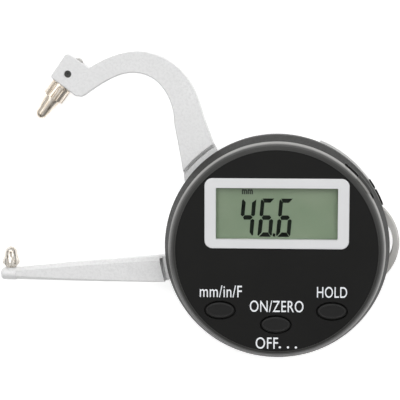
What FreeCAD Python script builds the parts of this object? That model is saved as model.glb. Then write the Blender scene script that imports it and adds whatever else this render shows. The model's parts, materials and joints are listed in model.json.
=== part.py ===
import FreeCAD, Part
import math
import os

# Digital external caliper gauge with two long arms.
# The gauge lies on its back: the display faces +Z and the arms reach out along -X.
# The origin is on the arm pivot's axis, at the rear face of the case.  Millimetres and degrees.

V = FreeCAD.Vector
OUT = V(0, 0, 1)

# ---------------------------------------------------------------- driving dimensions

# heights above the rear face
COVER_PLATE_TOP = 1.6
COVER_TOP = 3.2
FLOOR_TOP = 5.2
RIM_Z = 10.6
ROTOR_Z = 11.2
BOARD_Z = 13.4
BOARD_TOP = 15.0
SEAM_Z = 21.6
CREST_Z = 23.35
ROOF_UNDER_Z = 24.2
FACE_Z = 26.0
LABEL_THICK = 0.25

# case radii
COVER_R = 38.2
FRAME_R = 38.3
RIM_R = 38.8
SEAM_R = 37.1
CREST_R = 36.6
FACE_R = 34.6
BELT_Z = 15.4
SEAM_CHAMFER = 0.25
WALL = 1.8
BOARD_R = 30.0

# measuring geometry: both ball ends lie on one circle about the pivot
ARM_MID_Z = 7.3
ARM_THICK = 7.0
TIP_CIRCLE_R = 94.2
LOWER_TIP_DEG = 182.39
LOWER_BALL_R = 2.15
UPPER_BALL_R = 2.0
OPENING_AT_REST = 46.6
OPENING_FULL = 50.0

# the thin root of each arm passes through the slot between the frame and the case wall
ROOT_Z0 = 5.6
ROOT_Z1 = 9.3
STEP_R = 41.35
STEP_GROOVE_W, STEP_GROOVE_DEEP = 0.9, 2.2
HUB_R = 15.0
BOSS_R = 7.5
ARM_Z0 = ARM_MID_Z - ARM_THICK / 2
ARM_Z1 = ARM_MID_Z + ARM_THICK / 2

# pivot
SHAFT_R = 3.0
RUNNING_GAP = 0.04
BUSH_R = 4.5

# display
WINDOW_Y = 13.1
BEZEL_Y = 12.95
BEZEL_W, BEZEL_H, BEZEL_CORNER = 48.8, 23.9, 2.7
OPEN_Y = 12.9
OPEN_W, OPEN_H, OPEN_CORNER = 41.2, 17.45, 0.35
BEZEL_RISE = 0.5

# buttons: ovals in a shallow arc below the display
BUTTON_W, BUTTON_H = 9.9, 5.6
BUTTON_PLACES = {"button_left": (-19.1, -20.3), "button_middle": (-0.1, -25.1), "button_right": (18.9, -20.3)}
BUTTON_GAP = 0.5
BUTTON_RIM = 0.75
BUTTON_DISH = 0.22
BUTTON_TOP_Z = 26.7
BUTTON_TRAVEL = 0.7

# battery drawer, let into the side wall
DRAWER_DEG = 38.3
DRAWER_HALF_W = 8.1
DRAWER_Z0, DRAWER_Z1 = 14.6, 21.3
CELL_R, CELL_THICK = 6.25, 2.0
NOTCH_SPANS = ((28.6, 32.5), (42.6, 52.0))
NOTCH_R0, NOTCH_R1 = 36.95, 37.6
NOTCH_FLOOR_Z = 17.5
GRIP_LIP_SPAN = (32.5, 42.6)
GRIP_LIP_R = 38.2
GRIP_LIP_ROUND = 0.85

# screws
CASE_SCREW_R = 33.3
CASE_SCREW_DEGS = (95, 215, 270, 325)
CASE_BOSS_TOP = 19.0
BOARD_SCREW_R = 27.5
BOARD_SCREW_DEGS = (90, 205, 335)

# slots in the frame's wall: the arms leave through one, the finger lever through the other
ARM_SLOT = (117, 204)
LEVER_SLOT = (-27, 69)


# ---------------------------------------------------------------- helpers

def polar(radius, degrees, z=0.0):
    angle = math.radians(degrees)
    return V(radius * math.cos(angle), radius * math.sin(angle), z)


def disc(radius, z0, z1, x=0.0, y=0.0):
    return Part.makeCylinder(radius, z1 - z0, V(x, y, z0), OUT)


def ring(outer, inner, z0, z1):
    return disc(outer, z0, z1).cut(disc(inner, z0 - 1, z1 + 1))


def block(x0, x1, y0, y1, z0, z1):
    return Part.makeBox(x1 - x0, y1 - y0, z1 - z0, V(x0, y0, z0))


def prism(wire, z0, z1):
    face = Part.Face(wire)
    face.translate(V(0, 0, z0))
    return face.extrude(V(0, 0, z1 - z0))


def polygon(points):
    corners = [V(x, y, 0) for x, y in points]
    return Part.makePolygon(corners + [corners[0]])


def sector(radius, from_deg, to_deg, z0, z1):
    """A solid pie slice about the pivot axis."""
    pie = Part.makeCylinder(radius, z1 - z0, V(0, 0, z0), OUT, to_deg - from_deg)
    pie.rotate(V(0, 0, 0), OUT, from_deg)
    return pie


def rounded_rectangle(width, height, corner, z0, z1, y=0.0):
    body = block(-width / 2, width / 2, y - height / 2, y + height / 2, z0, z1)
    upright = [e for e in body.Edges if abs(e.tangentAt(e.FirstParameter).z) > 0.9]
    return body.makeFillet(corner, upright)


def oval(width, height, z0, z1, x, y):
    """An elliptical prism with its long axis along X."""
    edge = Part.Ellipse(V(x, y, 0), width / 2, height / 2).toShape()
    return prism(Part.Wire(edge), z0, z1)


def turned(profile, base=None, axis=None):
    """Revolve (radius, height) points about an axis that starts at base."""
    corners = [V(r, 0, h) for r, h in profile]
    wire = Part.makePolygon(corners + [corners[0]])
    solid = Part.Face(wire).revolve(V(0, 0, 0), OUT, 360)
    if axis is not None:
        solid.Placement = FreeCAD.Placement(base, FreeCAD.Rotation(OUT, axis))
    return solid


def fluted_ring(outer, depth, flutes, h0, h1):
    """A ring-shaped grip with rounded flutes cut along its length, about Z."""
    body = disc(outer, h0, h1)
    cutters = []
    for i in range(flutes):
        centre = polar(outer + depth * 0.15, 360.0 * i / flutes)
        cutters.append(disc(depth * 1.15, h0 - 1, h1 + 1, centre.x, centre.y))
    return body.cut(Part.makeCompound(cutters))


def fused(*shapes):
    body = shapes[0]
    for other in shapes[1:]:
        body = body.fuse(other)
    return body.removeSplitter()


def line(a, b):
    return Part.makeLine(V(a[0], a[1], 0), V(b[0], b[1], 0))


def spline(points):
    curve = Part.BSplineCurve()
    curve.interpolate([V(x, y, 0) for x, y in points])
    return curve.toShape()


def outline(*edges):
    return Part.Wire(Part.__sortEdges__(list(edges)))


def socket_screw(radius, length, head_r, head_h, x, y, head_z, down=True):
    """Cap screw seen from its head; the head's outer face is at head_z."""
    sign = -1 if down else 1
    head = Part.makeCylinder(head_r, head_h, V(x, y, head_z), V(0, 0, sign))
    shank = Part.makeCylinder(radius, length, V(x, y, head_z + sign * head_h), V(0, 0, sign))
    socket = hexagon(head_r * 0.48, head_h * 0.6)
    socket.rotate(V(0, 0, 0), V(1, 0, 0), 180 if down else 0)
    socket.translate(V(x, y, head_z))
    return head.fuse(shank).cut(socket)


def hexagon(radius, height):
    corners = [polar(radius, 60 * i) for i in range(6)]
    return Part.Face(Part.makePolygon(corners + [corners[0]])).extrude(V(0, 0, height))


def long_edges(shape, z, least):
    """Edges that lie flat at height z and are at least this long."""
    found = []
    for edge in shape.Edges:
        box = edge.BoundBox
        if abs(box.ZMin - z) < 0.01 and abs(box.ZMax - z) < 0.01 and edge.Length > least:
            found.append(edge)
    return found


parts = {}


# ---------------------------------------------------------------- case

def wall_radius(z):
    """Outer radius of the case's side wall, which flares from the seam to the belt and is straight below."""
    share = min(1, (SEAM_Z - z) / (SEAM_Z - BELT_Z))
    return SEAM_R + share * (RIM_R - SEAM_R)


def wall_section(z0, z1, chamfer=0):
    """The side wall between two heights, all the way round, its outer top edge chamfered if asked."""
    levels = [z for z in (z1, BELT_Z, z0) if z0 <= z <= z1]
    outer = [(wall_radius(z), z) for z in levels]
    inner = [(wall_radius(z) - WALL, z) for z in reversed(levels)]
    if chamfer:
        outer[:1] = [(wall_radius(z1) - chamfer, z1), (wall_radius(z1 - chamfer), z1 - chamfer)]
    return turned(outer + inner)


def notches(outer, inner, z0, z1):
    """The two recesses at the ends of the grip lip, above the battery drawer."""
    spans = [sector(50, from_deg, to_deg, z0, z1) for from_deg, to_deg in NOTCH_SPANS]
    return ring(outer, inner, z0, z1).common(Part.makeCompound(spans))


def case_screw_spots():
    return [polar(CASE_SCREW_R, a) for a in CASE_SCREW_DEGS]


def drawer_slab(z0, z1, half_width, x0, x1):
    """A block that points out of the side wall along the drawer's line of travel."""
    slab = block(x0, x1, -half_width, half_width, z0, z1)
    slab.rotate(V(0, 0, 0), OUT, DRAWER_DEG)
    return slab


def back_cover():
    plate = disc(COVER_R, 0, COVER_TOP)
    plate = plate.makeFillet(0.9, long_edges(plate, 0, 50))
    hollow = disc(COVER_R - 2.0, COVER_PLATE_TOP, COVER_TOP + 1)
    cover = plate.cut(hollow)
    for spot in case_screw_spots():
        post = disc(3.0, COVER_PLATE_TOP, COVER_TOP, spot.x, spot.y)
        cover = cover.fuse(post)
    for spot in case_screw_spots():
        cover = cover.cut(disc(1.15, -1, COVER_TOP + 1, spot.x, spot.y))
        cover = cover.cut(disc(2.2, -1, 1.5, spot.x, spot.y))
    return cover


def base_frame():
    floor = disc(FRAME_R, COVER_TOP, FLOOR_TOP)
    floor = floor.fuse(sector(39.2, 35, 67.6, COVER_TOP, FLOOR_TOP))
    floor = floor.fuse(sector(RIM_R, 12, 35, COVER_TOP, FLOOR_TOP))
    wall = ring(FRAME_R, FRAME_R - 2.1, FLOOR_TOP, RIM_Z)
    for slot in (ARM_SLOT, LEVER_SLOT):
        wall = wall.cut(sector(RIM_R + 1, slot[0], slot[1], FLOOR_TOP - 1, RIM_Z + 1))
    frame = floor.fuse(wall)
    for spot in case_screw_spots():
        frame = frame.fuse(disc(2.8, FLOOR_TOP, RIM_Z, spot.x, spot.y))
    for spot in case_screw_spots():
        frame = frame.cut(disc(1.15, COVER_TOP - 1, RIM_Z + 1, spot.x, spot.y))
    frame = frame.cut(disc(SHAFT_R + 0.02, COVER_TOP - 1, FLOOR_TOP + 1))
    for spot in fixed_arm_screw_spots() + [SPRING_POST, STOP_POST]:
        frame = frame.cut(disc(1.02, COVER_TOP - 1, FLOOR_TOP + 1, spot.x, spot.y))
    return frame.removeSplitter()


def case_body():
    body = wall_section(RIM_Z, SEAM_Z, SEAM_CHAMFER)
    for angle, spot in zip(CASE_SCREW_DEGS, case_screw_spots()):
        rib = block(CASE_SCREW_R, RIM_R - 1.2, -0.8, 0.8, RIM_Z, CASE_BOSS_TOP)
        rib.rotate(V(0, 0, 0), OUT, angle)
        body = body.fuse(disc(2.6, RIM_Z, CASE_BOSS_TOP, spot.x, spot.y)).fuse(rib)
    for spot in case_screw_spots():
        body = body.cut(disc(0.82, RIM_Z - 1, CASE_BOSS_TOP - 1, spot.x, spot.y))
    opening = drawer_slab(DRAWER_Z0 - 0.15, SEAM_Z + 1, DRAWER_HALF_W + 0.15, 30, 42)
    body = body.cut(opening)
    return body.cut(notches(NOTCH_R1, NOTCH_R0, NOTCH_FLOOR_Z, FACE_Z)).removeSplitter()


def front_cover():
    skin = turned([
        (0, FACE_Z), (FACE_R, FACE_Z), (35.2, 25.65), (35.75, 25.05), (36.15, 24.3),
        (CREST_R - 0.15, CREST_Z + 0.12), (CREST_R, CREST_Z),
        (SEAM_R, SEAM_Z + SEAM_CHAMFER), (SEAM_R - SEAM_CHAMFER, SEAM_Z), (SEAM_R - WALL, SEAM_Z),
        (CREST_R - WALL, CREST_Z - 0.6), (FACE_R - 0.9, ROOF_UNDER_Z), (0, ROOF_UNDER_Z),
    ])
    lip = ring(GRIP_LIP_R, CREST_R, CREST_Z - 1.1, CREST_Z + 0.05).common(sector(50, *GRIP_LIP_SPAN, 0, 30))
    outer_edge = max(long_edges(lip, CREST_Z + 0.05, 4), key=lambda e: e.BoundBox.XMax + e.BoundBox.YMax)
    lip = lip.makeFillet(GRIP_LIP_ROUND, [outer_edge])
    skin = skin.cut(notches(50, NOTCH_R0, SEAM_Z - 1, FACE_Z)).fuse(lip)
    cover = skin.cut(disc(FACE_R - 0.15, FACE_Z - LABEL_THICK, FACE_Z + 1))
    cover = cover.cut(rounded_rectangle(46.4, 21.4, 1.6, ROOF_UNDER_Z - 1, FACE_Z + 1, WINDOW_Y))
    for x, y in BUTTON_PLACES.values():
        cover = cover.cut(oval(BUTTON_W + 2 * BUTTON_GAP, BUTTON_H + 2 * BUTTON_GAP, 20, 30, x, y))
    for angle in BOARD_SCREW_DEGS:
        spot = polar(BOARD_SCREW_R, angle)
        cover = cover.fuse(disc(2.0, BOARD_TOP, ROOF_UNDER_Z, spot.x, spot.y))
        cover = cover.cut(disc(0.8, BOARD_TOP - 1, 21.5, spot.x, spot.y))
    return cover.removeSplitter()


def face_label():
    sheet = disc(FACE_R - 0.2, FACE_Z - LABEL_THICK, FACE_Z)
    sheet = sheet.cut(rounded_rectangle(46.4, 21.4, 1.6, FACE_Z - 1, FACE_Z + 1, WINDOW_Y))
    for x, y in BUTTON_PLACES.values():
        sheet = sheet.cut(oval(BUTTON_W + 2 * BUTTON_GAP, BUTTON_H + 2 * BUTTON_GAP, 20, 30, x, y))
    return sheet


def case_screws():
    screws = [socket_screw(0.8, 14.0, 2.0, 1.3, s.x, s.y, 0.15, down=False) for s in case_screw_spots()]
    return Part.makeCompound(screws)


# ---------------------------------------------------------------- display

def window_frame():
    flange = rounded_rectangle(BEZEL_W, BEZEL_H, BEZEL_CORNER, FACE_Z, FACE_Z + BEZEL_RISE, BEZEL_Y)
    flange = flange.makeFillet(0.25, long_edges(flange, FACE_Z + BEZEL_RISE, 1))
    sleeve = rounded_rectangle(46.2, 21.2, 1.5, ROOF_UNDER_Z, FACE_Z, WINDOW_Y)
    opening = rounded_rectangle(OPEN_W, OPEN_H, OPEN_CORNER, ROOF_UNDER_Z - 1, FACE_Z + 2, OPEN_Y)
    return flange.fuse(sleeve).cut(opening).removeSplitter()


def window_lens():
    z1 = ROOF_UNDER_Z + 0.8
    return rounded_rectangle(OPEN_W - 0.1, OPEN_H - 0.1, OPEN_CORNER, ROOF_UNDER_Z, z1, OPEN_Y)


def display_glass():
    return rounded_rectangle(45.0, 20.0, 0.3, 22.0, ROOF_UNDER_Z - 0.1, WINDOW_Y)


STRIP_W = 1.2
STRIP_X0 = -18.0
STRIPS = ((4.6, 14.0), (21.6, 4.0))


def display_holder():
    tray = rounded_rectangle(46.2, 21.2, 1.0, 19.5, ROOF_UNDER_Z - 0.1, WINDOW_Y)
    tray = tray.cut(rounded_rectangle(45.1, 20.1, 0.3, 22.0, ROOF_UNDER_Z + 1, WINDOW_Y))
    for y, x_end in STRIPS:
        slot = block(STRIP_X0 - 0.1, x_end + 0.1, y - STRIP_W / 2 - 0.1, y + STRIP_W / 2 + 0.1, 19, 23)
        tray = tray.cut(slot)
    return tray


def display_strips():
    strips = []
    for y, x_end in STRIPS:
        strips.append(block(STRIP_X0, x_end, y - STRIP_W / 2, y + STRIP_W / 2, BOARD_TOP, 22.0))
    return Part.makeCompound(strips)


# ---------------------------------------------------------------- electronics

def main_board():
    board = disc(BOARD_R, BOARD_Z, BOARD_TOP)
    for angle in BOARD_SCREW_DEGS:
        spot = polar(BOARD_SCREW_R, angle)
        board = board.cut(disc(0.95, BOARD_Z - 1, BOARD_TOP + 1, spot.x, spot.y))
    return board


def board_screws():
    screws = []
    for angle in BOARD_SCREW_DEGS:
        spot = polar(BOARD_SCREW_R, angle)
        screws.append(socket_screw(0.75, 5.5, 1.5, 0.8, spot.x, spot.y, BOARD_Z - 0.8, down=False))
    return Part.makeCompound(screws)


def processor():
    body = block(-16, -8, -10, -2, BOARD_TOP + 0.1, BOARD_TOP + 1.3)
    legs = []
    for i in range(8):
        offset = -9.3 + i * 0.9
        legs.append(block(-16.7, -7.3, offset, offset + 0.4, BOARD_TOP, BOARD_TOP + 0.25))
        legs.append(block(-15.3 + i * 0.9, -14.9 + i * 0.9, -10.7, -1.3, BOARD_TOP, BOARD_TOP + 0.25))
    return fused(body, *legs)


def key_domes():
    domes = []
    for x, y in BUTTON_PLACES.values():
        foot = disc(2.6, BOARD_TOP, BOARD_TOP + 0.12, x, y)
        domes.append(foot.fuse(disc(1.6, BOARD_TOP, BOARD_TOP + 0.3, x, y)))
    return Part.makeCompound(domes)


def encoder_rotor():
    plate = ring(24.0, 5.6, ROTOR_Z, ROTOR_Z + 1.0)
    windows = []
    for i in range(36):
        slot = block(19.0, 22.5, -0.8, 0.8, ROTOR_Z - 1, ROTOR_Z + 2)
        slot.rotate(V(0, 0, 0), OUT, 10.0 * i)
        windows.append(slot)
    return plate.cut(Part.makeCompound(windows))


def battery_contact_below():
    pad = drawer_slab(BOARD_TOP, BOARD_TOP + 0.3, 2.5, 20, 29)
    return pad.fuse(drawer_slab(BOARD_TOP + 0.3, BOARD_TOP + 0.7, 1.2, 24, 28.5)).removeSplitter()


def battery_contact_above():
    strip = drawer_slab(19.15, 19.5, 2.0, 15, 25)
    return strip.fuse(drawer_slab(BOARD_TOP, 19.5, 2.0, 14.7, 15)).removeSplitter()


CELL_X = 26.8
CELL_Z = 16.5


def battery_drawer():
    tray = drawer_slab(15.85, 18.95, 7.3, 19.2, 37.0)
    pocket = disc(CELL_R + 0.1, CELL_Z, 20, CELL_X, 0)
    pocket = pocket.fuse(disc(CELL_R - 1.2, 15, 20, CELL_X, 0))
    pocket.rotate(V(0, 0, 0), OUT, DRAWER_DEG)
    door = drawer_slab(DRAWER_Z0, DRAWER_Z1, DRAWER_HALF_W, 32.0, 42.0)
    skin = wall_section(DRAWER_Z0, DRAWER_Z1)
    front = door.common(skin).cut(notches(NOTCH_R1, NOTCH_R0, NOTCH_FLOOR_Z, FACE_Z))
    return tray.cut(pocket).fuse(front).removeSplitter()


def coin_cell():
    base = disc(CELL_R, CELL_Z, CELL_Z + CELL_THICK * 0.75, CELL_X, 0)
    lid = disc(CELL_R - 0.8, CELL_Z, CELL_Z + CELL_THICK, CELL_X, 0)
    cell = base.fuse(lid).removeSplitter()
    cell.rotate(V(0, 0, 0), OUT, DRAWER_DEG)
    return cell


# ---------------------------------------------------------------- buttons

def button(x, y):
    cap = oval(BUTTON_W, BUTTON_H, 23.5, BUTTON_TOP_Z, x, y)
    cap = cap.makeFillet(0.45, long_edges(cap, BUTTON_TOP_Z, 5))
    dish_z = BUTTON_TOP_Z - BUTTON_DISH
    dish = oval(BUTTON_W - 2 * BUTTON_RIM, BUTTON_H - 2 * BUTTON_RIM, dish_z, BUTTON_TOP_Z + 0.6, x, y)
    dish = dish.makeFillet(0.15, long_edges(dish, dish_z, 5))
    cap = cap.cut(dish)
    collar = oval(BUTTON_W + 1.9, BUTTON_H + 1.9, 23.2, ROOF_UNDER_Z - 0.05, x, y)
    stem = disc(1.4, BOARD_TOP + 0.3 + BUTTON_TRAVEL + 0.1, 23.5, x, y)
    return fused(cap, collar, stem)


# ---------------------------------------------------------------- pivot

def pivot_shaft():
    shaft = disc(SHAFT_R, COVER_TOP - 1.2, 13.0).fuse(disc(5.2, COVER_TOP - 1.2, COVER_TOP))
    groove = ring(SHAFT_R + 1, SHAFT_R - 0.5, 12.24, 12.66)
    return shaft.cut(groove).removeSplitter()


def lower_bushing():
    body = ring(BUSH_R, SHAFT_R + RUNNING_GAP, ROOT_Z0, 7.8)
    return body.fuse(ring(6.2, SHAFT_R + RUNNING_GAP, FLOOR_TOP + 0.05, ROOT_Z0)).removeSplitter()


def upper_bushing():
    return ring(BUSH_R, SHAFT_R + RUNNING_GAP, 8.2, ROTOR_Z)


def retaining_ring():
    clip = ring(5.0, SHAFT_R - 0.45, 12.28, 12.62)
    gap = block(0, 8, -1.3, 1.3, 12, 13)
    return clip.cut(gap)


SPRING_Z0, SPRING_Z1 = 9.95, 10.95
SPRING_BAND = 0.35
SPRING_PITCH = 0.8
SPRING_POST = V(-11.0, -17.5, 0)
STOP_POST = polar(30.0, 119.8)


def spring_post():
    return disc(1.0, COVER_TOP, SPRING_Z1, SPRING_POST.x, SPRING_POST.y)


def stop_pin():
    pin = disc(1.5, FLOOR_TOP, 10.2, STOP_POST.x, STOP_POST.y)
    return pin.fuse(disc(1.0, COVER_TOP, FLOOR_TOP, STOP_POST.x, STOP_POST.y)).removeSplitter()


def return_spring():
    """A flat spiral of half circles round the hub's boss, with a straight tail to the post."""
    half_turns = 11
    radius = BOSS_R + 0.5
    centre = 0.0
    turns = [block(BOSS_R + 0.02, radius + SPRING_BAND, -0.2, 0.2, SPRING_Z0, SPRING_Z1)]
    for i in range(half_turns):
        upper = i % 2 == 0
        side = block(-30, 30, 0, 30, 0, 20) if upper else block(-30, 30, -30, 0, 0, 20)
        half = ring(radius + SPRING_BAND, radius, SPRING_Z0, SPRING_Z1).common(side)
        half.translate(V(centre, 0, 0))
        turns.append(half)
        radius += SPRING_PITCH / 2
        centre += SPRING_PITCH / 2 if upper else -SPRING_PITCH / 2
    tail_x = turns[-1].BoundBox.XMin
    tail = block(tail_x, tail_x + SPRING_BAND, SPRING_POST.y, 0, SPRING_Z0, SPRING_Z1)
    return fused(*turns, tail)


# ---------------------------------------------------------------- moving arm

# contact axis of the moving arm, from the ball end up through the head
LEAN = math.radians(53.4)
ALONG = V(math.cos(LEAN), math.sin(LEAN), 0)
ACROSS = V(math.sin(LEAN), -math.cos(LEAN), 0)
REST_CENTRES = OPENING_AT_REST + LOWER_BALL_R + UPPER_BALL_R
REST_SPREAD = 2 * math.degrees(math.asin(REST_CENTRES / (2 * TIP_CIRCLE_R)))
UPPER_TIP = polar(TIP_CIRCLE_R, LOWER_TIP_DEG - REST_SPREAD, ARM_MID_Z)
LOWER_TIP = polar(TIP_CIRCLE_R, LOWER_TIP_DEG, ARM_MID_Z)
COLLAR_LIFT = 12.2
COLLAR_LEN = 5.4
COLLAR_R = 3.75
COLLAR_GAP = 0.3
COLLAR_FLUTES = 14
HEAD_TOP = 22.9
HEAD_LEFT = -4.8
HEAD_RIGHT = 4.2


def on_head(across, along):
    """A point in the plane of the arms, measured from the ball end along the contact's axis."""
    spot = UPPER_TIP + ACROSS * across + ALONG * along
    return (spot.x, spot.y)


def arm_profile():
    """Outline of the moving arm outside the case, head included."""
    top_left = on_head(HEAD_LEFT - 0.3, HEAD_TOP - 0.4)
    foot_left = on_head(HEAD_LEFT, COLLAR_LIFT + 0.1)
    foot_right = on_head(6.2, COLLAR_LIFT + 0.1)
    heel = on_head(8.3, COLLAR_LIFT + 1.2)
    notch = on_head(HEAD_RIGHT, HEAD_TOP)
    outer = spline([
        notch, (-58.6, 65.0), (-49.0, 67.1), (-40.0, 65.1), (-32.6, 59.6), (-28.3, 52.6), (-26.0, 45.6),
    ])
    outer_root = (-21.1, 32.0)
    inner = spline([(-35.9, 42.5), (-38.0, 51.6), (-43.0, 57.6), (-50.0, 59.7), (-57.2, 57.9), heel])
    inner_root = (-32.1, 22.0)
    return outline(
        line(foot_left, top_left), line(top_left, notch), outer, line((-26.0, 45.6), outer_root),
        line(outer_root, inner_root), line(inner_root, (-35.9, 42.5)), inner,
        line(heel, foot_right), line(foot_right, foot_left),
    )


def upper_arm():
    thick = prism(arm_profile(), ARM_Z0, ARM_Z1).cut(disc(STEP_R, 0, 20))
    corners = [e for e in thick.Edges if abs(e.tangentAt(e.FirstParameter).z) > 0.9]
    round_these = []
    for edge in corners:
        spot = edge.CenterOfMass
        if spot.x < -66 and (V(spot.x, spot.y, 0) - V(*on_head(HEAD_RIGHT, HEAD_TOP), 0)).Length > 1:
            round_these.append(edge)
    thick = thick.makeFillet(1.1, round_these)
    rim = [e for e in long_edges(thick, ARM_Z1, 0.5) + long_edges(thick, ARM_Z0, 0.5)]
    thick = thick.makeChamfer(0.35, rim)
    root = prism(polygon([(-22.0, 34.9), (-10.8, 10.4), (0, 0), (-14.4, -4.0), (-32.3, 22.2), (-33.5, 28.9)]),
                 ROOT_Z0, ROOT_Z1)
    tongue = prism(arm_profile(), ROOT_Z0, ROOT_Z1).common(disc(STEP_R + 1.5, 0, 20))
    root = root.fuse(tongue).cut(disc(HUB_R + 0.2, 7.6, 12))
    hub = disc(HUB_R, ROOT_Z0, 7.6).fuse(disc(BOSS_R, ROOT_Z0, ROTOR_Z))
    arm = thick.fuse(root).fuse(hub)
    arm = arm.cut(ring(STEP_R, STEP_R - STEP_GROOVE_W, ROOT_Z1 - STEP_GROOVE_DEEP, ROOT_Z1 + 1))
    arm = arm.cut(disc(BUSH_R, 0, 20))
    bore = Part.makeCylinder(2.02, 14, UPPER_TIP + ALONG * (COLLAR_LIFT - 1), ALONG)
    arm = arm.cut(bore)
    seat_x, seat_y = on_head(SET_SCREW_ACROSS, COLLAR_LIFT + SET_SCREW_UP)
    arm = arm.cut(disc(1.25, ARM_MID_Z, 20, seat_x, seat_y))
    for spot in lever_screw_spots():
        arm = arm.cut(disc(0.8, 4, 12, spot.x, spot.y))
    return arm.removeSplitter()


SET_SCREW_UP = 4.6
SET_SCREW_ACROSS = -0.4


def upper_contact():
    collar_z0 = COLLAR_LIFT - COLLAR_LEN
    cone = turned([
        (0, 0), (UPPER_BALL_R, 0), (2.1, 0.9),
        (2.85, collar_z0 - 0.6), (2.85, collar_z0 + 0.5), (0, collar_z0 + 0.5),
    ])
    ball = Part.makeSphere(UPPER_BALL_R, V(0, 0, 0))
    grip = fluted_ring(COLLAR_R, 0.40, COLLAR_FLUTES, collar_z0, COLLAR_LIFT - COLLAR_GAP)
    band = disc(COLLAR_R - 0.12, COLLAR_LIFT - 1.0, COLLAR_LIFT - COLLAR_GAP)
    neck = disc(COLLAR_R - 0.6, COLLAR_LIFT - COLLAR_GAP, COLLAR_LIFT + 0.05)
    shank = disc(2.0, COLLAR_LIFT - 0.5, COLLAR_LIFT + 8.0)
    contact = fused(cone, ball, grip, band, neck, shank)
    contact.Placement = FreeCAD.Placement(UPPER_TIP, FreeCAD.Rotation(OUT, ALONG))
    return contact


def contact_set_screw():
    seat_x, seat_y = on_head(SET_SCREW_ACROSS, COLLAR_LIFT + SET_SCREW_UP)
    screw = disc(1.22, ARM_MID_Z + 2.03, ARM_Z1 - 0.7, seat_x, seat_y)
    socket = hexagon(0.62, 2)
    socket.translate(V(seat_x, seat_y, ARM_Z1 - 1.4))
    return screw.cut(socket)


def contact_end_screw():
    dome = Part.makeSphere(1.6, V(0, 0, HEAD_TOP - 0.9)).common(disc(1.1, HEAD_TOP - 0.3, HEAD_TOP + 2))
    shank = disc(1.98, COLLAR_LIFT + 8.3, HEAD_TOP - 0.8)
    head = disc(1.1, HEAD_TOP - 0.8, HEAD_TOP - 0.3)
    screw = fused(shank, head, dome)
    screw.Placement = FreeCAD.Placement(UPPER_TIP, FreeCAD.Rotation(OUT, ALONG))
    return screw


# ---------------------------------------------------------------- finger lever

LEVER_Z0 = 7.6
LEVER_Z1 = 9.7
LOOP_Z0 = 5.6
LOOP_CENTRE = (26.2, 0.9)
LOOP_R = 16.3
HOLE_CENTRE = (30.6, 0.9)
HOLE_R = 9.8
PAD_FROM, PAD_TO = 21.3, 35.4
PAD_R = 39.5


def lever_screw_spots():
    return [polar(11.2, a) for a in (60, 180, 300)]


def finger_lever():
    eye = ring(HUB_R, BOSS_R + 0.05, LEVER_Z0, LEVER_Z1)
    web = sector(36.0, -16.5, PAD_TO, LEVER_Z0, LEVER_Z1).cut(disc(HUB_R - 1, 0, 20))
    rim = sector(38.9, PAD_FROM - 1, PAD_TO, LOOP_Z0, LEVER_Z1).cut(disc(34.5, 0, 20))
    loop = disc(LOOP_R, LOOP_Z0, LEVER_Z1, LOOP_CENTRE[0], LOOP_CENTRE[1])
    loop = loop.makeFillet(0.6, long_edges(loop, LEVER_Z1, 20) + long_edges(loop, LOOP_Z0, 20))
    loop = loop.cut(disc(33.0, 0, 20))
    hole = disc(HOLE_R, 0, 20, HOLE_CENTRE[0], HOLE_CENTRE[1]).cut(disc(35.5, -1, 21))
    lever = fused(eye, web, rim, loop).cut(hole)
    for spot in lever_screw_spots():
        lever = lever.cut(disc(0.8, 4, 12, spot.x, spot.y))
        lever = lever.cut(Part.makeCone(0.8, 1.6, 0.8, V(spot.x, spot.y, LEVER_Z1 - 0.8), OUT))
    return lever.removeSplitter()


def lever_screws():
    screws = []
    for spot in lever_screw_spots():
        shank = disc(0.78, ROOT_Z0 + 0.1, LEVER_Z1 - 0.8, spot.x, spot.y)
        head = Part.makeCone(0.78, 1.58, 0.8, V(spot.x, spot.y, LEVER_Z1 - 0.8), OUT)
        slot = block(spot.x - 2, spot.x + 2, spot.y - 0.2, spot.y + 0.2, LEVER_Z1 - 0.4, LEVER_Z1 + 1)
        screws.append(shank.fuse(head).cut(slot))
    return Part.makeCompound(screws)


def thumb_pad():
    pad = ring(PAD_R, 38.9, LOOP_Z0 + 0.3, LEVER_Z1 - 0.2)
    pad = pad.common(sector(41, PAD_FROM, PAD_TO, 0, 20))
    gap = sector(41, 29.3, 30.7, 0, 20).cut(disc(39.1, -1, 21))
    return pad.cut(gap)


# ---------------------------------------------------------------- fixed arm

FIXED_TIP_X = -92.3
FIXED_TIP_Y = -11.35
FIXED_TIP_R = 2.05
BOSS_X = LOWER_TIP.x
BOSS_TOP_Y = -9.25
KNOB_X0 = -97.85
KNOB_Y = -11.55
KNOB_R = 2.2
GROOVE_R0, GROOVE_R1 = 40.4, 41.45
GROOVE_FLOOR_Z = 6.4
GROOVE_STOP_Y = -5.15
LOWER_BULB_R = 3.05
LOWER_FLUTES = 12


def fixed_arm_screw_spots():
    return [V(-34.5, -9.2, 0), V(-29.5, -8.2, 0)]


def section(x, y0, y1, half_z, cut, facet):
    """An eight-sided section across the arm at one X; facet is the cut of its upper front corner."""
    z0 = ARM_MID_Z - half_z
    z1 = ARM_MID_Z + half_z
    corners = [
        (y0 + cut, z0), (y1 - cut, z0), (y1, z0 + cut), (y1, z1 - facet),
        (y1 - facet, z1), (y0 + cut, z1), (y0, z1 - cut), (y0, z0 + cut),
    ]
    points = [V(x, y, z) for y, z in corners]
    return Part.makePolygon(points + [points[0]])


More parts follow.
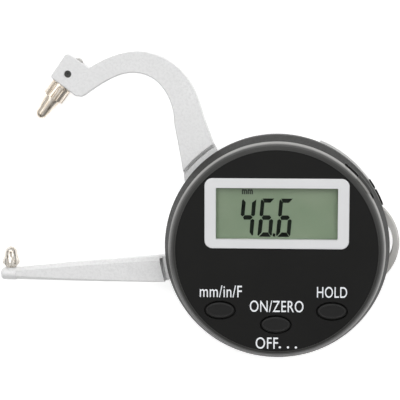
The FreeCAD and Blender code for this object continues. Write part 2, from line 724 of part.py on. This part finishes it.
def fixed_arm():
    slim = FIXED_TIP_R
    octagon_cut = slim * (2 - math.sqrt(2))
    tip = section(FIXED_TIP_X, FIXED_TIP_Y - slim, FIXED_TIP_Y + slim, slim, octagon_cut, octagon_cut)
    middle = section(-58.6, -13.65, -5.95, 2.9, 0.6, 1.35)
    heel = section(-38.0, -13.5, -4.5, ARM_THICK / 2, 0.3, 1.3)
    blade = Part.makeLoft([tip, middle, heel], True, False)
    blade = blade.cut(disc(GROOVE_R0, 0, 20))
    root = prism(polygon([
        (-41.5, -4.6), (-38.6, -4.6), (-36.0, -5.0), (-27.0, -4.8), (-27.0, -11.0), (-41.5, -13.4),
    ]), FLOOR_TOP, ROOT_Z1)
    knob = Part.makeCylinder(KNOB_R, FIXED_TIP_X - KNOB_X0, V(KNOB_X0, KNOB_Y, ARM_MID_Z), V(1, 0, 0))
    far_end = [e for e in knob.Edges if e.BoundBox.XMax < KNOB_X0 + 0.1]
    knob = knob.makeFillet(1.5, far_end)
    boss = Part.makeCylinder(1.9, 1.5, V(BOSS_X, BOSS_TOP_Y - 1.5, ARM_MID_Z), V(0, 1, 0))
    arm = fused(blade, root, knob, boss)
    groove = ring(GROOVE_R1, GROOVE_R0, GROOVE_FLOOR_Z, 20).cut(block(-60, 0, GROOVE_STOP_Y, 20, -1, 21))
    arm = arm.cut(groove)
    arm = arm.cut(Part.makeCylinder(1.02, 3.2, V(BOSS_X, BOSS_TOP_Y - 3.1, ARM_MID_Z), V(0, 1, 0)))
    for spot in fixed_arm_screw_spots():
        arm = arm.cut(disc(1.05, 4, 12, spot.x, spot.y))
        arm = arm.cut(disc(1.75, ROOT_Z1 - 1.3, 12, spot.x, spot.y))
    return arm.removeSplitter()


def fixed_arm_screws():
    screws = []
    for spot in fixed_arm_screw_spots():
        screws.append(socket_screw(1.0, 4.6, 1.7, 1.1, spot.x, spot.y, ROOT_Z1 - 0.2))
    return Part.makeCompound(screws)


def lower_contact():
    drop = LOWER_TIP.y - BOSS_TOP_Y
    body = turned([
        (0, 0), (LOWER_BALL_R, 0), (2.3, 1.0), (2.4, 2.0), (2.5, 3.4), (2.35, 3.9),
        (1.6, drop - 0.01), (0, drop - 0.01),
    ])
    lobes = turned([
        (0, 0.6), (2.0, 0.6), (2.65, 2.0), (LOWER_BULB_R, 3.3), (LOWER_BULB_R - 0.05, 3.9), (2.3, 4.6),
        (1.8, drop - 0.2), (0, drop - 0.2),
    ])
    cutters = []
    for i in range(LOWER_FLUTES):
        centre = polar(LOWER_BULB_R + 0.14, 360.0 * (i + 0.5) / LOWER_FLUTES)
        cutters.append(disc(0.52, 0, drop, centre.x, centre.y))
    lobes = lobes.cut(Part.makeCompound(cutters))
    ball = Part.makeSphere(LOWER_BALL_R, V(0, 0, 0))
    shank = disc(1.0, drop - 0.1, drop + 3.0)
    contact = fused(body, lobes, ball, shank)
    contact.Placement = FreeCAD.Placement(LOWER_TIP, FreeCAD.Rotation(OUT, V(0, -1, 0)))
    return contact


# ---------------------------------------------------------------- build and export

parts["back_cover"] = back_cover()
parts["case_screws"] = case_screws()
parts["base_frame"] = base_frame()
parts["case_body"] = case_body()
parts["front_cover"] = front_cover()
parts["face_label"] = face_label()
parts["window_frame"] = window_frame()
parts["window_lens"] = window_lens()
parts["display_glass"] = display_glass()
parts["display_holder"] = display_holder()
parts["display_strips"] = display_strips()
parts["main_board"] = main_board()
parts["board_screws"] = board_screws()
parts["processor"] = processor()
parts["key_domes"] = key_domes()
for name, (px, py) in BUTTON_PLACES.items():
    parts[name] = button(px, py)
parts["battery_contact_below"] = battery_contact_below()
parts["battery_contact_above"] = battery_contact_above()
parts["battery_drawer"] = battery_drawer()
parts["coin_cell"] = coin_cell()
parts["pivot_shaft"] = pivot_shaft()
parts["lower_bushing"] = lower_bushing()
parts["upper_bushing"] = upper_bushing()
parts["retaining_ring"] = retaining_ring()
parts["spring_post"] = spring_post()
parts["stop_pin"] = stop_pin()
parts["return_spring"] = return_spring()
parts["encoder_rotor"] = encoder_rotor()
parts["upper_arm"] = upper_arm()
parts["upper_contact"] = upper_contact()
parts["contact_set_screw"] = contact_set_screw()
parts["contact_end_screw"] = contact_end_screw()
parts["finger_lever"] = finger_lever()
parts["lever_screws"] = lever_screws()
parts["thumb_pad"] = thumb_pad()
parts["fixed_arm"] = fixed_arm()
parts["fixed_arm_screws"] = fixed_arm_screws()
parts["lower_contact"] = lower_contact()

os.makedirs("parts", exist_ok=True)
for name, shape in parts.items():
    solids = shape.Solids
    print(name, "solids", len(solids), "valid", shape.isValid(), "volume", round(shape.Volume, 1))
    shape.exportStep("parts/" + name + ".step")

closed_spread = 2 * math.degrees(math.asin((0.1 + LOWER_BALL_R + UPPER_BALL_R) / (2 * TIP_CIRCLE_R)))
full_spread = 2 * math.degrees(math.asin((OPENING_FULL + LOWER_BALL_R + UPPER_BALL_R) / (2 * TIP_CIRCLE_R)))
print("closing travel", round(REST_SPREAD - closed_spread, 2))
print("opening travel", round(REST_SPREAD - full_spread, 2))
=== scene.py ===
import json
import math

import bmesh
import bpy
from mathutils import Matrix, Vector


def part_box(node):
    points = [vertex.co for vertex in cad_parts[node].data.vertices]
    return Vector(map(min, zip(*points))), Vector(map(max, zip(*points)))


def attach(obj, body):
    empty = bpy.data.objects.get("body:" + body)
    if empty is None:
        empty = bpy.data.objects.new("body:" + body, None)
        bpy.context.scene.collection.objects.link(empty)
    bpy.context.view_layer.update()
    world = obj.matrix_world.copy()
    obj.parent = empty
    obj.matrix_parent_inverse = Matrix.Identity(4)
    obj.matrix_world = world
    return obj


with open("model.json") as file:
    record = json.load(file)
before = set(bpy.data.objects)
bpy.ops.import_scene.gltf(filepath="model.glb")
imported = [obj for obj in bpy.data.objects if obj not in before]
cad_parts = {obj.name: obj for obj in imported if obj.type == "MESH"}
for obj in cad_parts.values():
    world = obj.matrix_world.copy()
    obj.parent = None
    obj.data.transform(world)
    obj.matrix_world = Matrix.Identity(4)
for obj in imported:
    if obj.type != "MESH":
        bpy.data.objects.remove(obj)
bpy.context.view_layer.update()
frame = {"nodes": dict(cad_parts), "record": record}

MM = 0.001
WHITE = (1, 1, 1)
LOOKS = {}
scene = bpy.context.scene


# ---------------------------------------------------------------- node-tree helpers

class Nodes:
    """Short calls for building a node tree."""

    def __init__(self, tree):
        self.tree = tree

    def node(self, kind, **settings):
        made = self.tree.nodes.new(kind)
        for key, value in settings.items():
            setattr(made, key, value)
        return made

    def link(self, source, target):
        self.tree.links.new(source, target)

    def math(self, operation, *values):
        """A Math node whose inputs are outputs of other nodes or plain numbers."""
        made = self.node("ShaderNodeMath", operation=operation)
        for value, target in zip(values, made.inputs):
            if isinstance(value, (int, float)):
                target.default_value = value
            else:
                self.link(value, target)
        return made.outputs[0]

    def ramp(self, value, stops, interpolation="LINEAR"):
        """A colour ramp through (position, colour) stops."""
        made = self.node("ShaderNodeValToRGB")
        made.color_ramp.interpolation = interpolation
        ends = made.color_ramp.elements
        while len(ends) < len(stops):
            ends.new(0.5)
        for end, (at, colour) in zip(ends, stops):
            end.position = at
            end.color = (*colour, 1)
        self.link(value, made.inputs[0])
        return made.outputs[0]


class Surface(Nodes):
    """A material with one Principled shader, laid out in the object's own coordinates and listed in LOOKS."""

    def __init__(self, name):
        self.material = bpy.data.materials.new(name)
        self.material.use_nodes = True
        LOOKS[name] = self.material
        super().__init__(self.material.node_tree)
        self.tree.nodes.clear()
        output = self.node("ShaderNodeOutputMaterial")
        self.shader = self.node("ShaderNodeBsdfPrincipled")
        self.link(self.shader.outputs[0], output.inputs[0])
        self.place = self.node("ShaderNodeTexCoord").outputs["Object"]

    def set(self, **values):
        """Constants on the shader's own sockets; _ in a name stands for a space."""
        for key, value in values.items():
            self.shader.inputs[key.replace("_", " ")].default_value = value

    def colour(self, source):
        self.link(source, self.shader.inputs["Base Color"])

    def roughness(self, source):
        self.link(source, self.shader.inputs["Roughness"])

    def mapped(self, scale, kind="POINT", turn=(0, 0, 0)):
        mapping = self.node("ShaderNodeMapping", vector_type=kind)
        mapping.inputs["Scale"].default_value = scale
        mapping.inputs["Rotation"].default_value = turn
        self.link(self.place, mapping.inputs["Vector"])
        return mapping.outputs[0]

    def noise(self, scale, detail=3.0, rough=0.55, vector=None):
        made = self.node("ShaderNodeTexNoise")
        made.inputs["Scale"].default_value = scale
        made.inputs["Detail"].default_value = detail
        made.inputs["Roughness"].default_value = rough
        self.link(self.place if vector is None else vector, made.inputs["Vector"])
        return made.outputs["Fac"]

    def spread(self, value, low, high, from_low=0.3, from_high=0.7):
        """Maps from_low..from_high, where a noise mostly lies, to low..high, and holds both ends."""
        made = self.node("ShaderNodeMapRange")
        made.inputs["From Min"].default_value = from_low
        made.inputs["From Max"].default_value = from_high
        made.inputs["To Min"].default_value = low
        made.inputs["To Max"].default_value = high
        self.link(value, made.inputs["Value"])
        return made.outputs[0]

    def mix(self, factor, base, colour):
        """The base, covered by a plain colour as far as the factor says."""
        made = self.node("ShaderNodeMix", data_type="RGBA")
        factor_socket, base_socket, colour_socket = made.inputs[0], made.inputs[6], made.inputs[7]
        self.link(factor, factor_socket)
        self.link(base, base_socket)
        colour_socket.default_value = (*colour, 1)
        return made.outputs[2]

    def bump(self, height, distance, strength):
        made = self.node("ShaderNodeBump")
        made.inputs["Distance"].default_value = distance
        made.inputs["Strength"].default_value = strength
        self.link(height, made.inputs["Height"])
        self.link(made.outputs[0], self.shader.inputs["Normal"])

    def dot(self, a, b):
        """Dot product of a node's vector with a fixed vector or another node's."""
        made = self.node("ShaderNodeVectorMath", operation="DOT_PRODUCT")
        self.link(a, made.inputs[0])
        if isinstance(b, tuple):
            made.inputs[1].default_value = b
        else:
            self.link(b, made.inputs[1])
        return made.outputs["Value"]

    def ring(self, radius, half_width):
        """1 at this distance from the object's Z axis, falling to 0 a half width away."""
        flat = self.node("ShaderNodeVectorMath", operation="MULTIPLY")
        flat.inputs[1].default_value = (1, 1, 0)
        self.link(self.place, flat.inputs[0])
        length = self.node("ShaderNodeVectorMath", operation="LENGTH")
        self.link(flat.outputs[0], length.inputs[0])
        off = self.math("SUBTRACT", length.outputs["Value"], radius)
        return self.spread(self.math("ABSOLUTE", off), 1.0, 0.0, half_width * RING_CORE, half_width)

    def toward(self, direction, low, high):
        """Runs between two (distance, value) pairs along a direction from the object's origin."""
        return self.spread(self.dot(self.place, direction), low[1], high[1], low[0], high[0])

    def edges(self, radius):
        """About 1 on a sharp outer edge, 0 on a flat face."""
        bevel = self.node("ShaderNodeBevel", samples=EDGE_SAMPLES)
        bevel.inputs["Radius"].default_value = radius
        geometry = self.node("ShaderNodeNewGeometry")
        agreement = self.dot(bevel.outputs[0], geometry.outputs["Normal"])
        return self.spread(agreement, 1.0, 0.0, EDGE_FULL, EDGE_NONE)


RING_CORE = 0.4
EDGE_SAMPLES = 6
EDGE_FULL, EDGE_NONE = 0.80, 0.985


# ---------------------------------------------------------------- kinds of surface

PLASTIC_EDGE, METAL_EDGE = 0.4 * MM, 0.3 * MM
# painted highlight: a lighter ring on the case's crest, fading out from the lit upper side toward the lower
# side
LIT_SIDE = (0.45, 0.89, 0)
LIT_SIDE_LOW, LIT_SIDE_HIGH = (-38 * MM, 0.05), (12 * MM, 1.0)
CREST_HIGHLIGHT_TONE = (0.34, 0.335, 0.325)
SPECKLE_SCALE = 1100
SPECKLE_NONE, SPECKLE_FULL = 0.42, 0.66
STREAK_STOPS = (0.36, 0.50, 0.62)
STREAK_SIZE = (6 * MM, 0.45 * MM, 0.45 * MM)


def moulded(name, dark, light, rough, grain_scale=1500.0, grain_height=0.02 * MM,
            edge_highlight=None, shine=0.5, crest_highlight=None):
    """Moulded plastic with a fine spark texture and, if asked, a painted highlight on sharp edges and a
    painted highlight ring on the crest, brighter toward the lit upper side.
    """
    s = Surface(name)
    drift = s.noise(60, 4)
    grain = s.noise(grain_scale, 3, 0.6)
    colour = s.ramp(drift, [(0.3, dark), (0.7, light)])
    # painted highlight: lighter colour on sharp edges
    if edge_highlight is not None:
        colour = s.mix(s.edges(PLASTIC_EDGE), colour, edge_highlight)
    # painted highlight ring on the crest, strongest on the lit upper side
    if crest_highlight is not None:
        lit_side_fade = s.toward(LIT_SIDE, LIT_SIDE_LOW, LIT_SIDE_HIGH)
        colour = s.mix(s.math("MULTIPLY", s.ring(*crest_highlight), lit_side_fade), colour, CREST_HIGHLIGHT_TONE)
    s.colour(colour)
    s.roughness(s.spread(grain, rough - 0.06, rough + 0.08))
    s.set(IOR=1.49, Specular_IOR_Level=shine)
    s.bump(grain, grain_height, 0.5)
    return s.material


def satin_metal(name, dark, light, rough, grain=(900, 900, 900), height=0.006 * MM, painted_edge=None, metallic=1.0,
                speckle=None):
    """Machined or blasted metal with grain in its roughness and relief and, if asked, a fine speckle and a
    painted edge colour: painted shade on the arms' edges, painted highlight on the lever's.
    """
    s = Surface(name)
    streak = s.noise(1.0, 4, 0.6, s.mapped(grain))
    drift = s.noise(45, 3)
    colour = s.ramp(drift, [(0.25, dark), (0.75, light)])
    if speckle is not None:
        spots = s.spread(s.noise(SPECKLE_SCALE, 2, 0.7), 0.0, 1.0, SPECKLE_NONE, SPECKLE_FULL)
        colour = s.mix(spots, colour, speckle)
    # painted edge colour: painted shade where darker than the metal, painted highlight where lighter
    if painted_edge is not None:
        colour = s.mix(s.edges(METAL_EDGE), colour, painted_edge)
    s.colour(colour)
    s.roughness(s.spread(streak, rough - 0.08, rough + 0.10))
    s.set(Metallic=metallic)
    s.bump(streak, height, 0.6)
    return s.material


def reflection_streaked_steel(name, lean, tones):
    """Ground tool steel with a straw tint and soft streaks along an axis that many degrees from X; the
    streaks' light and dark are painted reflection streaks.
    """
    s = Surface(name)
    streak = s.noise(1.0, 2, 0.5, s.mapped(STREAK_SIZE, "TEXTURE", (0, 0, math.radians(lean))))
    s.colour(s.ramp(streak, list(zip(STREAK_STOPS, tones))))
    s.roughness(s.spread(streak, 0.22, 0.36))
    s.set(Metallic=0.85)
    s.bump(streak, 0.005 * MM, 0.5)
    return s.material


def clear_lens():
    """Thin clear plastic with a faint smear."""
    s = Surface("clear_lens")
    smear = s.noise(120, 3)
    s.colour(s.ramp(smear, [(0.3, (0.97, 0.98, 0.97)), (0.7, WHITE)]))
    s.roughness(s.spread(smear, 0.02, 0.05))
    s.set(Transmission_Weight=1.0, IOR=1.02)
    return s.material


def display_green():
    """The liquid-crystal panel's grey-green, slightly cloudy."""
    s = Surface("display_green")
    cloud = s.noise(55, 3)
    fine = s.noise(1800, 2)
    s.colour(s.ramp(cloud, [(0.3, (0.215, 0.290, 0.190)), (0.7, (0.250, 0.315, 0.215))]))
    s.roughness(s.spread(fine, 0.30, 0.42))
    s.bump(fine, 0.004 * MM, 0.3)
    return s.material


def floor_white():
    """White acrylic, lit softly from below as a shooting table is."""
    s = Surface("floor")
    s.colour(s.ramp(s.noise(6, 2), [(0.3, (0.88, 0.88, 0.88)), (0.7, (0.90, 0.90, 0.90))]))
    s.set(Roughness=0.9, Emission_Color=(*WHITE, 1), Emission_Strength=FLOOR_GLOW)
    return s.material


# ---------------------------------------------------------------- materials of the CAD nodes

FINE, COARSE_ALONG_Z, COARSE_ALONG_X = (1500, 1500, 1500), (900, 900, 300), (1500, 300, 300)
TURNED = (900, 900, 3000)

# the case's outer parts
# painted highlights: lighter sharp edges on these black plastics and a lighter crest ring on case_black
moulded("case_black", (0.036, 0.036, 0.034), (0.047, 0.047, 0.045), 0.38, 1400,
        edge_highlight=(0.07, 0.07, 0.068), shine=0.34, crest_highlight=(36.75 * MM, 0.52 * MM))
# painted shade: a darker copy of case_black for the side wall and the battery drawer
moulded("wall_black_painted_shade", (0.020, 0.020, 0.019), (0.029, 0.029, 0.027), 0.55, 1400, 0.03 * MM,
        edge_highlight=(0.10, 0.10, 0.098), shine=0.2)
moulded("label_black", (0.0042, 0.0042, 0.0038), (0.0060, 0.0060, 0.0055), 0.46, 2600, 0.01 * MM, shine=0.24)
moulded("button_black", (0.0055, 0.0055, 0.0052), (0.0080, 0.0080, 0.0076), 0.42, 2400, 0.01 * MM,
        edge_highlight=(0.045, 0.045, 0.044), shine=0.35)
satin_metal("silver_frame", (0.795, 0.80, 0.81), (0.85, 0.855, 0.865), 0.42, (2600, 2600, 2600),
            metallic=0.15)
clear_lens()
display_green()

# the arms and what is on them
# arm_metal's edges carry painted shade, lever_metal's edges a painted highlight
satin_metal("arm_metal", (0.84, 0.84, 0.84), (0.91, 0.91, 0.91), 0.50, (1800, 1800, 1800), 0.02 * MM,
            painted_edge=(0.60, 0.60, 0.60), metallic=0.15, speckle=(0.815, 0.815, 0.815))
satin_metal("frame_metal", (0.86, 0.86, 0.85), (0.93, 0.93, 0.92), 0.36, (1500, 1500, 300), metallic=0.3)
satin_metal("lever_metal", (0.54, 0.53, 0.51), (0.64, 0.63, 0.605), 0.42, (1400, 1400, 1400), 0.02 * MM,
            painted_edge=(0.66, 0.66, 0.64), metallic=0.5)
# painted reflection streaks on both contacts
reflection_streaked_steel("contact_steel", 53.4, ((0.62, 0.53, 0.42), (0.86, 0.77, 0.66), (0.98, 0.91, 0.82)))
reflection_streaked_steel("lower_steel", 94, ((0.44, 0.39, 0.33), (0.76, 0.71, 0.64), (0.94, 0.91, 0.86)))
satin_metal("set_screw_grey", (0.07, 0.07, 0.068), (0.13, 0.13, 0.125), 0.36, FINE, metallic=0.6)
moulded("pad_rubber", (0.006, 0.006, 0.006), (0.011, 0.011, 0.011), 0.7, 1500, 0.04 * MM, shine=0.08)

# inside the case
satin_metal("inner_steel", (0.42, 0.42, 0.41), (0.52, 0.52, 0.51), 0.28, TURNED)
satin_metal("spring_steel", (0.20, 0.21, 0.24), (0.32, 0.31, 0.30), 0.30, COARSE_ALONG_Z)
satin_metal("bush_bronze", (0.48, 0.33, 0.16), (0.60, 0.43, 0.22), 0.34, TURNED)
satin_metal("screw_dark", (0.030, 0.030, 0.032), (0.055, 0.055, 0.055), 0.34, FINE, metallic=0.8)
satin_metal("cell_steel", (0.66, 0.66, 0.65), (0.76, 0.76, 0.75), 0.18, (1200, 300, 300))
satin_metal("contact_brass", (0.66, 0.50, 0.20), (0.76, 0.60, 0.28), 0.24, COARSE_ALONG_X)
moulded("inner_plastic", (0.55, 0.55, 0.52), (0.62, 0.62, 0.59), 0.45)
moulded("strip_rubber", (0.16, 0.05, 0.045), (0.22, 0.07, 0.06), 0.7, 2400)
moulded("chip_black", (0.014, 0.014, 0.015), (0.022, 0.022, 0.023), 0.5, 3000, 0.01 * MM)
moulded("board_green", (0.010, 0.09, 0.035), (0.016, 0.13, 0.05), 0.3, 900, 0.01 * MM)
moulded("rotor_glass", (0.16, 0.12, 0.04), (0.24, 0.18, 0.07), 0.25, 900, 0.01 * MM)

# nodes that don't look like the rest of their slot
OWN_LOOKS = {
    "case_body": "wall_black_painted_shade", "battery_drawer": "wall_black_painted_shade", "contact_end_screw": "lever_metal",
    "lower_contact": "lower_steel", "contact_set_screw": "set_screw_grey",
}
for entry in frame["record"]["subparts"]:
    look = OWN_LOOKS.get(entry["node"], entry["material_slot"])
    slots = frame["nodes"][entry["node"]].data.materials
    slots.clear()
    slots.append(LOOKS[look])


# ---------------------------------------------------------------- flat drawings on the face and the display

def centre(node):
    """The middle of a CAD node's box across the face, in millimetres."""
    low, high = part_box(node)
    middle = (low + high) / 2
    return middle.x / MM, middle.y / MM


def key_centre(button):
    """A button's middle to 0.01 mm: the facets of its oval put its box's middle about 0.001 mm off."""
    x, y = centre(button)
    return round(x, 2), round(y, 2)


def top(node):
    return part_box(node)[1].z


def drawn(name, mesh, material):
    """Put a flat mesh on the case as a piece of its own."""
    piece = bpy.data.objects.new(name, mesh)
    scene.collection.objects.link(piece)
    mesh.materials.clear()
    mesh.materials.append(material)
    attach(piece, "case")


def filled(name, loops, z):
    """One flat mesh of filled polygons, given in millimetres, at height z."""
    mesh = bpy.data.meshes.new(name)
    bm = bmesh.new()
    for loop in loops:
        bm.faces.new([bm.verts.new((x * MM, y * MM, z)) for x, y in loop])
    bmesh.ops.recalc_face_normals(bm, faces=bm.faces)
    if bm.faces[:][0].normal.z < 0:
        bmesh.ops.reverse_faces(bm, faces=bm.faces)
    bm.to_mesh(mesh)
    bm.free()
    return mesh


def lettering(name, words, x, y, width, height, z, weight):
    """Plain lettering fitted to a box of this width and height about x, y, in millimetres."""
    curve = bpy.data.curves.new(name, "FONT")
    curve.body = words
    curve.align_x = "CENTER"
    curve.align_y = "CENTER"
    curve.offset = weight
    curve.space_character = 1.06
    curve.resolution_u = 6
    maker = bpy.data.objects.new(name + "_maker", curve)
    scene.collection.objects.link(maker)
    bpy.context.view_layer.update()
    mesh = bpy.data.meshes.new_from_object(maker)
    mesh.name = name
    bpy.data.objects.remove(maker)
    xs = [v.co.x for v in mesh.vertices]
    ys = [v.co.y for v in mesh.vertices]
    middle = Vector(((min(xs) + max(xs)) / 2, (min(ys) + max(ys)) / 2, 0))
    wide, high = max(xs) - min(xs), max(ys) - min(ys)
    stretch = Matrix.Diagonal((width * MM / wide, height * MM / high, 1, 1))
    mesh.transform(Matrix.Translation((x * MM, y * MM, z)) @ stretch @ Matrix.Translation(-middle))
    return mesh


# ---------------------------------------------------------------- the display's figures

INK_Z = top("display_glass") + 0.02 * MM
WINDOW_X, WINDOW_Y = centre("window_lens")
SLANT = math.tan(math.radians(5))
SEGMENT_GROWTH = 0.14
# each figure with its left edge, from the window's middle
FIGURES = (("4", -12.86), ("6", -6.51), ("6", -0.24))
FIGURES_Y = WINDOW_Y - 8.04
LIT = {"4": "bcfg", "6": "acdefg"}

# upright outlines of the segments of one digit, with mitred corners and pointed middles
SEGMENT_SHAPES = {
    "a": [(0.62, 12.95), (4.45, 12.95), (3.28, 11.65), (1.37, 11.65)],
    "b": [(4.77, 12.6), (4.77, 7.35), (4.2, 6.9), (3.6, 7.35), (3.53, 11.5)],
    "c": [(4.2, 6.0), (4.77, 5.5), (4.77, 0.64), (4.5, 0.3), (3.62, 1.5), (3.53, 5.5)],
    "d": [(0.57, 0.0), (1.83, 1.38), (3.45, 1.38), (4.45, 0.0)],
    "e": [(0.58, 6.0), (1.3, 5.5), (1.24, 1.5), (0.35, 0.25), (0.02, 0.6), (0.04, 5.45)],
    "f": [(0.4, 12.7), (0.1, 12.2), (0.1, 7.35), (0.65, 6.9), (1.24, 7.35), (1.24, 11.65)],
    "g": [(0.92, 6.5), (1.4, 7.2), (3.45, 7.2), (4.05, 6.5), (3.45, 5.8), (1.36, 5.8)],
}
POINT_X = WINDOW_X - 1.4
POINT_SHAPE = [(0.0, 0.3), (0.3, 0.0), (0.98, 0.0), (0.98, 0.85), (0.68, 1.15), (0.1, 1.15)]


def thickened(outline):
    """A segment's outline grown by the same small amount in width and in height."""
    grown = []
    for along in zip(*outline):
        middle = sum(along) / len(along)
        factor = 1 + SEGMENT_GROWTH / (max(along) - min(along))
        grown.append([middle + (value - middle) * factor for value in along])
    return list(zip(*grown))


def figure_loops(figure, left):
    """Slanted outlines of the lit segments of one figure."""
    outlines = [thickened(SEGMENT_SHAPES[key]) for key in LIT[figure]]
    return [[(left + x + y * SLANT, FIGURES_Y + y) for x, y in outline] for outline in outlines]


loops = [loop for figure, left in FIGURES for loop in figure_loops(figure, WINDOW_X + left)]
loops.append([(POINT_X + x, FIGURES_Y + y) for x, y in POINT_SHAPE])
ink = moulded("display_ink", (0.004, 0.007, 0.004), (0.007, 0.010, 0.006), 0.5, 1200, 0.004 * MM, shine=0.15)
drawn("display_digits", filled("display_digits", loops, INK_Z), ink)


# ---------------------------------------------------------------- printed words

PRINT_Z = top("face_label") + 0.01 * MM
PRINT_WEIGHT = 0.004
white_print = moulded("white_print", (0.90, 0.93, 0.97), (0.96, 0.98, 1.0), 0.5, 3000, 0.004 * MM)

# name, words, the button they belong to, offset from its middle, size
LEGENDS = (
    ("legend_units", "mm/in/F", "button_left", (0.27, 6.48), (14.34, 4.13)),
    ("legend_hold", "HOLD", "button_right", (-0.01, 6.52), (10.20, 3.77)),
    ("legend_zero", "ON/ZERO", "button_middle", (0.26, 6.28), (18.22, 3.97)),
    ("legend_off", "OFF", "button_middle", (-2.98, -6.46), (7.64, 4.01)),
)
for name, words, button, (across, up), size in LEGENDS:
    x, y = key_centre(button)
    mesh = lettering(name, words, x + across, y + up, *size, PRINT_Z, PRINT_WEIGHT)
    drawn(name, mesh, white_print)

DOTS_X, DOTS_Y = (1.44, 4.19, 6.90), -7.86
DOT_R = 0.42
DOT_SIDES = 8
CORNERS = [math.tau * i / DOT_SIDES for i in range(DOT_SIDES)]


def dot(x, y):
    return [(x + DOT_R * math.cos(angle), y + DOT_R * math.sin(angle)) for angle in CORNERS]


x, y = key_centre("button_middle")
dots = [dot(x + across, y + DOTS_Y) for across in DOTS_X]
drawn("legend_dots", filled("legend_dots", dots, PRINT_Z), white_print)

UNIT_X, UNIT_Y = WINDOW_X - 9.95, WINDOW_Y + 7.25
UNIT_W, UNIT_H = 3.75, 1.75
UNIT_WEIGHT = 0.055
faint_ink = moulded("faint_ink", (0.018, 0.028, 0.018), (0.028, 0.040, 0.026), 0.5, 1200, 0.004 * MM)
unit_mesh = lettering("display_unit", "mm", UNIT_X, UNIT_Y, UNIT_W, UNIT_H, INK_Z, UNIT_WEIGHT)
drawn("display_unit", unit_mesh, faint_ink)


# ---------------------------------------------------------------- camera

CAMERA_AT = Vector((4.6, 78.3, 531.5)) * MM
CAMERA_AIM = Vector((-27.05, 15.17, 7.3)) * MM
CAMERA_UP = Vector((0, 1, 0))

camera_data = bpy.data.cameras.new("camera")
camera_data.sensor_width = 36
camera_data.lens = 135.8
camera_data.clip_end = 10
camera = bpy.data.objects.new("camera", camera_data)
scene.collection.objects.link(camera)
forward = (CAMERA_AIM - CAMERA_AT).normalized()
right = forward.cross(CAMERA_UP).normalized()
turn = Matrix((right, right.cross(forward), -forward)).transposed()
camera.matrix_world = Matrix.Translation(CAMERA_AT) @ turn.to_4x4()
scene.camera = camera


# ---------------------------------------------------------------- floor

FLOOR_GLOW = 0.52
FLOOR_HALF = 1.5
FLOOR_CORNERS = [(-FLOOR_HALF, -FLOOR_HALF, 0), (FLOOR_HALF, -FLOOR_HALF, 0),
                 (FLOOR_HALF, FLOOR_HALF, 0), (-FLOOR_HALF, FLOOR_HALF, 0)]

floor_mesh = bpy.data.meshes.new("floor")
floor_mesh.from_pydata(FLOOR_CORNERS, [], [(0, 1, 2, 3)])
floor = bpy.data.objects.new("floor", floor_mesh)
scene.collection.objects.link(floor)
floor_mesh.materials.append(floor_white())


# ---------------------------------------------------------------- light

# (position, level) stops from the horizon to straight up, and from the gauge's lower side to its upper side
TENT_HEIGHT = ((0.05, 0.08), (0.74, 0.26), (0.82, 1.0), (0.90, 1.0), (0.97, 0.15))
TENT_DEPTH = ((0.20, 0.10), (0.55, 0.85), (0.85, 1.0))
TENT_BAND = 2.75
TENT_BASE = 0.05


def grey_stops(stops):
    return [(at, (level, level, level)) for at, level in stops]


def studio_world():
    """A light tent: a bright band well above the horizon, strongest beyond the gauge's upper side."""
    world = bpy.data.worlds.new("studio")
    world.use_nodes = True
    tent = Nodes(world.node_tree)
    background = tent.tree.nodes["Background"]
    background.inputs["Color"].default_value = (*WHITE, 1)
    split = tent.node("ShaderNodeSeparateXYZ")
    tent.link(tent.node("ShaderNodeTexCoord").outputs["Generated"], split.inputs[0])
    height = tent.ramp(split.outputs["Z"], grey_stops(TENT_HEIGHT), "EASE")
    depth = tent.ramp(tent.math("MULTIPLY_ADD", split.outputs["Y"], 0.5, 0.5), grey_stops(TENT_DEPTH), "EASE")
    level = tent.math("MULTIPLY_ADD", tent.math("MULTIPLY", height, depth), TENT_BAND, TENT_BASE)
    tent.link(level, background.inputs["Strength"])
    return world


def softbox(name, at, aim, width, height, power):
    """A rectangular lamp at one point that faces another."""
    data = bpy.data.lights.new(name, "AREA")
    data.shape = "RECTANGLE"
    data.size = width
    data.size_y = height
    data.energy = power
    lamp = bpy.data.objects.new(name, data)
    scene.collection.objects.link(lamp)
    lamp.location = at
    lamp.rotation_euler = (Vector(aim) - Vector(at)).to_track_quat("-Z", "Y").to_euler()


scene.world = studio_world()
softbox("key", (-0.30, 0.80, 0.85), (-0.02, 0.0, 0.0), width=0.8, height=0.25, power=1.3)
softbox("side", (0.75, 0.30, 0.80), (0.0, 0.0, 0.0), width=0.3, height=0.6, power=0.7)

scene.view_settings.view_transform = "Standard"
